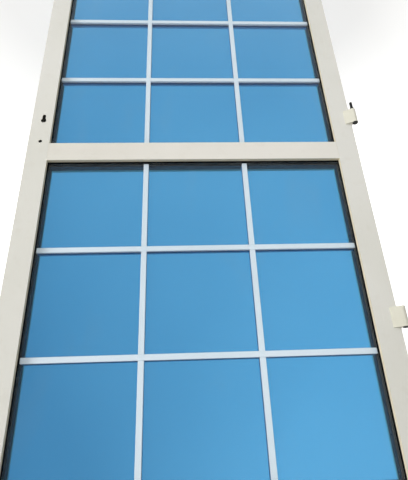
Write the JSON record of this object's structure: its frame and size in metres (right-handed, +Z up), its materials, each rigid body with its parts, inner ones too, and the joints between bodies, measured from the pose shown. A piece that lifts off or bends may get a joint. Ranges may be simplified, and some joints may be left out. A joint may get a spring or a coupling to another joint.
{
  "type": "glass entrance door leaf",
  "caption": "Aluminium entrance door leaf with double-glazed panels, slim glazing bars, a middle rail, lift-off hinges and a mortice lock.",
  "frame": {"origin": "middle of the overall width and depth, at the bottom edge of the leaf", "axes": "+Z up along the leaf's height, -Y out of the face that carries the hinge barrels, -X towards the hinges and +X towards the lock"},
  "size_m": [1.077, 0.07, 2.086],
  "materials": {
    "frame_coat": "cream powder coat, satin",
    "hinge_coat": "cream powder coat, satin",
    "bare_aluminium": "mill finish",
    "zinc_steel": "bright zinc plated",
    "lock_steel": "brushed stainless steel",
    "pin_steel": "blackened steel",
    "black_rubber": "matt black",
    "dark_plastic": "matt black",
    "clear_glass": "clear float glass",
    "blue_glass": "blue reflective coated glass",
    "spacer_metal": "dark anodised",
    "bar_coat": "white coat, satin"
  },
  "bodies": {
    "leaf": {"hinge_stile": "frame_coat", "lock_stile": "frame_coat", "top_rail": "frame_coat", "mid_rail": "frame_coat", "bottom_rail": "frame_coat", "corner_cleat_hinge_side": "bare_aluminium", "corner_cleat_lock_side": "bare_aluminium", "rail_connectors": "bare_aluminium", "connector_screws": "zinc_steel", "lower_bead_bottom": "frame_coat", "lower_bead_lock_side": "frame_coat", "lower_bead_top": "frame_coat", "lower_bead_hinge_side": "frame_coat", "lower_front_gasket": "black_rubber", "lower_rear_gasket": "black_rubber", "lower_front_pane": "clear_glass", "lower_rear_pane": "blue_glass", "lower_edge_seal": "black_rubber", "lower_spacer": "spacer_metal", "lower_upright_bar_1": "bar_coat", "lower_level_bar_1": "bar_coat", "lower_upright_bar_2": "bar_coat", "lower_level_bar_2": "bar_coat", "lower_setting_blocks": "dark_plastic", "upper_bead_bottom": "frame_coat", "upper_bead_lock_side": "frame_coat", "upper_bead_top": "frame_coat", "upper_bead_hinge_side": "frame_coat", "upper_front_gasket": "black_rubber", "upper_rear_gasket": "black_rubber", "upper_front_pane": "clear_glass", "upper_rear_pane": "blue_glass", "upper_edge_seal": "black_rubber", "upper_spacer": "spacer_metal", "upper_upright_bar_1": "bar_coat", "upper_level_bar_1": "bar_coat", "upper_upright_bar_2": "bar_coat", "upper_level_bar_2": "bar_coat", "upper_setting_blocks": "dark_plastic", "lower_hinge_wing": "hinge_coat", "lower_hinge_cap": "dark_plastic", "middle_hinge_wing": "hinge_coat", "middle_hinge_cap": "dark_plastic", "upper_hinge_wing": "hinge_coat", "upper_hinge_cap": "dark_plastic", "lower_hinge_bush": "dark_plastic", "lower_hinge_pin": "pin_steel", "middle_hinge_bush": "dark_plastic", "middle_hinge_pin": "pin_steel", "hinge_backing_plates": "zinc_steel", "hinge_screws": "zinc_steel", "lock_case": "zinc_steel", "lock_cover": "zinc_steel", "lock_faceplate": "lock_steel", "latch_spring": "zinc_steel", "faceplate_screws": "lock_steel", "lock_cover_screws": "zinc_steel"},
    "latch": {"latch_bolt": "lock_steel"},
    "dead_bolt_body": {"dead_bolt": "lock_steel"},
    "follower_body": {"follower": "zinc_steel"}
  },
  "joints": [
    {"name": "follower_turn", "type": "hinge", "parent": "leaf", "child": "follower_body", "pos_m": [0.4925, 0.009, 1.044], "axis": [0, -1, 0], "range_deg": [0, 40]},
    {"name": "latch_slide", "type": "slide", "parent": "leaf", "child": "latch", "axis": [-1, 0, 0], "range_m": [0, 0.009], "stiffness_N_per_m": 300, "springref_m": -0.008, "deforming": ["latch_spring"]},
    {"name": "dead_bolt_slide", "type": "slide", "parent": "leaf", "child": "dead_bolt_body", "axis": [1, 0, 0], "range_m": [0, 0.02]}
  ],
  "couplings": [
    {"joint": "follower_turn", "follows": "latch_slide", "rad_per_m": 77.5}
  ]
}
